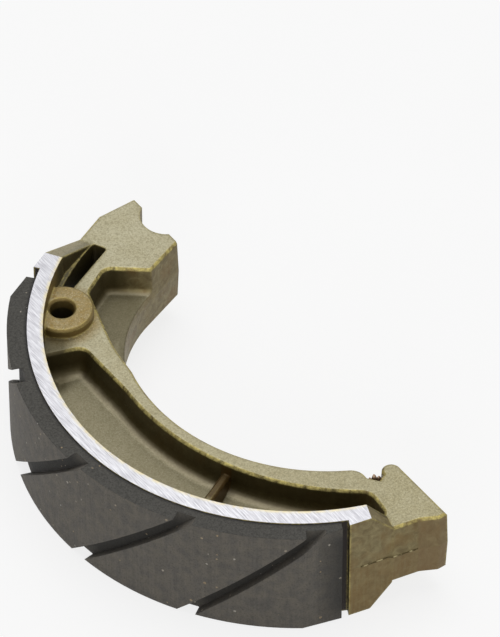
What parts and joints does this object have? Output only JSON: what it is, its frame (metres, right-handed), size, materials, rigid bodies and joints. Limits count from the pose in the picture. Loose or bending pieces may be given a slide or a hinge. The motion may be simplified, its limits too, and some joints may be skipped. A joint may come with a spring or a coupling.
{
  "type": "brake shoe",
  "caption": "Die-cast brake shoe with a grooved bonded lining, for an internal-expanding drum brake; pivots on an anchor pin and is spread by a cam.",
  "frame": {"origin": "on the drum's axis, in the plane of the lower machined rim face that the shoe lies on", "axes": "+Z along the drum's axis, +Y from the axis towards the anchor pin, the cam at -Y, and the rim on the -X side"},
  "size_m": [0.0521, 0.1023, 0.025],
  "materials": {
    "cast_aluminium": "as-cast, passivated olive bronze; machined bright on the rim's two side faces",
    "friction_compound": "ground moulded friction compound, matt charcoal with fine metal specks"
  },
  "bodies": {
    "root": {"shoe_casting": "cast_aluminium", "friction_lining": "friction_compound"}
  },
  "joints": []
}
